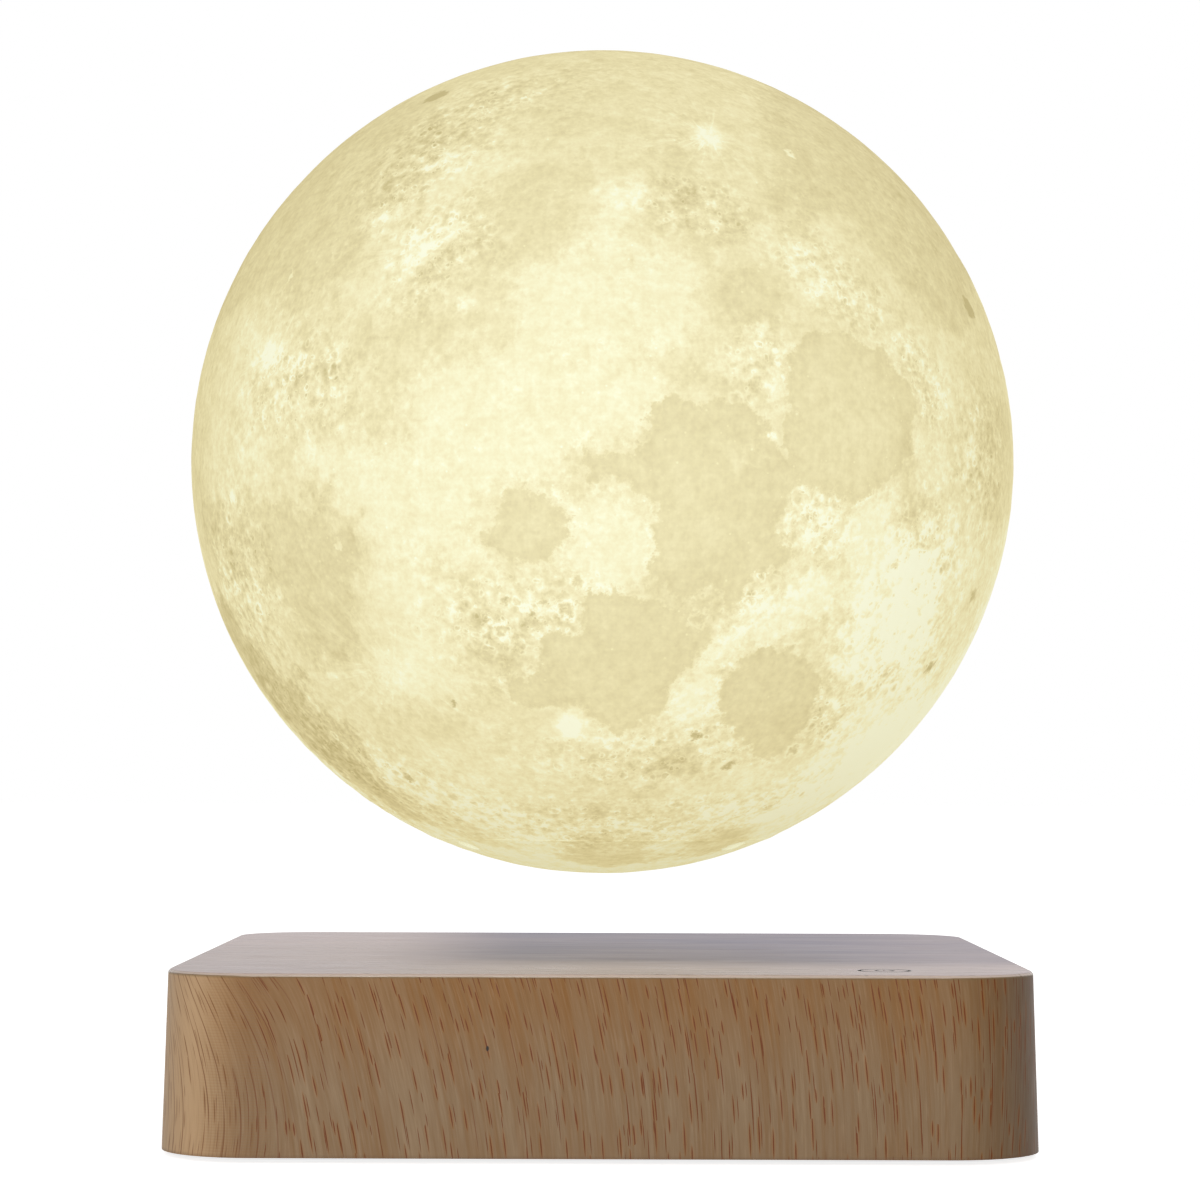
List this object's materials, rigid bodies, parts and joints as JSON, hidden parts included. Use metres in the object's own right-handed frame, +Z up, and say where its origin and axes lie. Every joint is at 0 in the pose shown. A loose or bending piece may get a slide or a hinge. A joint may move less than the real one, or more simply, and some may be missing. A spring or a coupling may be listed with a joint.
{
  "type": "levitating moon lamp",
  "caption": "Lit moon globe that floats on a magnetic field over a square veneered wooden base with a touch mark.",
  "frame": {"origin": "on the table, under the middle of the base", "axes": "+Z up through the globe's centre, front of the base with the touch mark towards -Y, power inlet towards +Y"},
  "size_m": [0.18, 0.18, 0.2337],
  "materials": {
    "board_core": "matte",
    "side_wood": "satin",
    "top_wood": "satin",
    "cover_plastic": "matte",
    "screw_steel": "satin",
    "foot_rubber": "matte",
    "circuit_board": "satin",
    "chip_black": "matte",
    "ferrite": "matte",
    "former_plastic": "matte",
    "copper_wire": "gloss",
    "core_iron": "satin",
    "capacitor_sleeve": "gloss",
    "jack_plastic": "satin",
    "contact_brass": "polished",
    "lead_sleeve": "satin",
    "magnet_nickel": "polished",
    "moon_plastic": "matte",
    "led_plate": "satin",
    "led_phosphor": "matte"
  },
  "bodies": {
    "base": {"base_body": "board_core", "side_veneer": "side_wood", "top_veneer": "top_wood", "bottom_cover": "cover_plastic", "cover_screws": "screw_steel", "rubber_foot_1": "foot_rubber", "rubber_foot_2": "foot_rubber", "rubber_foot_3": "foot_rubber", "rubber_foot_4": "foot_rubber", "levitation_board": "circuit_board", "module_screws": "screw_steel", "driver_chips": "chip_black", "ring_magnet": "ferrite", "coil_bobbin_1": "former_plastic", "coil_bobbin_2": "former_plastic", "coil_bobbin_3": "former_plastic", "coil_bobbin_4": "former_plastic", "coil_winding_1": "copper_wire", "coil_winding_2": "copper_wire", "coil_winding_3": "copper_wire", "coil_winding_4": "copper_wire", "coil_core_1": "core_iron", "coil_core_2": "core_iron", "coil_core_3": "core_iron", "coil_core_4": "core_iron", "hall_header": "chip_black", "hall_board": "circuit_board", "hall_sensors": "chip_black", "transmit_former": "former_plastic", "transmit_coil": "copper_wire", "transmit_leads": "copper_wire", "power_board": "circuit_board", "power_screws": "screw_steel", "power_chips": "chip_black", "power_capacitors": "capacitor_sleeve", "power_inductor": "ferrite", "dc_jack": "jack_plastic", "jack_pin": "contact_brass", "jack_nut": "screw_steel", "jack_leads": "lead_sleeve", "link_leads": "lead_sleeve", "touch_board": "circuit_board", "touch_lead": "lead_sleeve"},
    "float": {"float_magnet": "magnet_nickel"},
    "moon": {"moon_shell": "moon_plastic", "moon_cap": "moon_plastic", "cap_screws": "screw_steel", "magnet_holder": "former_plastic", "receive_coil": "copper_wire", "receive_leads": "copper_wire", "receiver_board": "circuit_board", "receiver_chips": "chip_black", "storage_capacitor": "capacitor_sleeve", "led_spacers": "former_plastic", "led_screws": "screw_steel", "led_board": "led_plate", "led_chips": "led_phosphor", "led_leads": "lead_sleeve"}
  },
  "joints": [
    {"name": "lift", "type": "slide", "parent": "base", "child": "float", "axis": [0, 0, 1], "range_m": [-0.0167, 0.06], "stiffness_N_per_m": 100, "springref_m": 0.0329},
    {"name": "spin", "type": "hinge", "parent": "float", "child": "moon", "pos_m": [0, 0, 0.1437], "axis": [0, 0, 1], "continuous": true}
  ]
}
